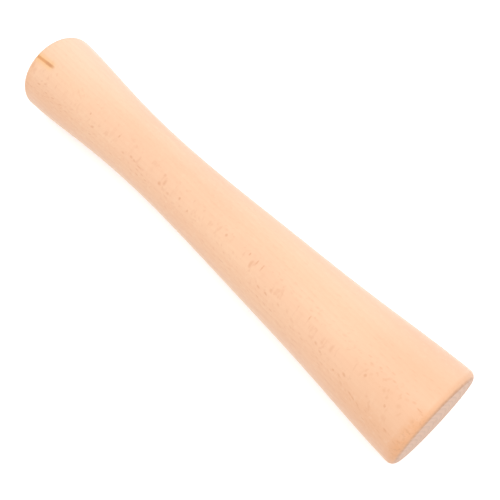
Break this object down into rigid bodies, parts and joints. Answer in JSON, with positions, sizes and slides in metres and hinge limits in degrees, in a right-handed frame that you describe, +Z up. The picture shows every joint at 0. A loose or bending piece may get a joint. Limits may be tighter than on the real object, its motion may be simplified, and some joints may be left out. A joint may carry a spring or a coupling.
{
  "type": "wooden mallet",
  "caption": "One-piece turned beech mallet: a round tapering head that runs without a joint into a waisted grip and a flared butt.",
  "frame": {"origin": "on the surface that the mallet lies on, below the middle of its length", "axes": "+X along the turning axis from the butt to the striking face, +Z up, +Y completes a right-handed frame"},
  "size_m": [0.3, 0.06, 0.06],
  "materials": {
    "beech": "lathe-turned and sanded smooth, bare or thinly oiled, satin"
  },
  "bodies": {
    "root": {"mallet_body": "beech"}
  },
  "joints": []
}
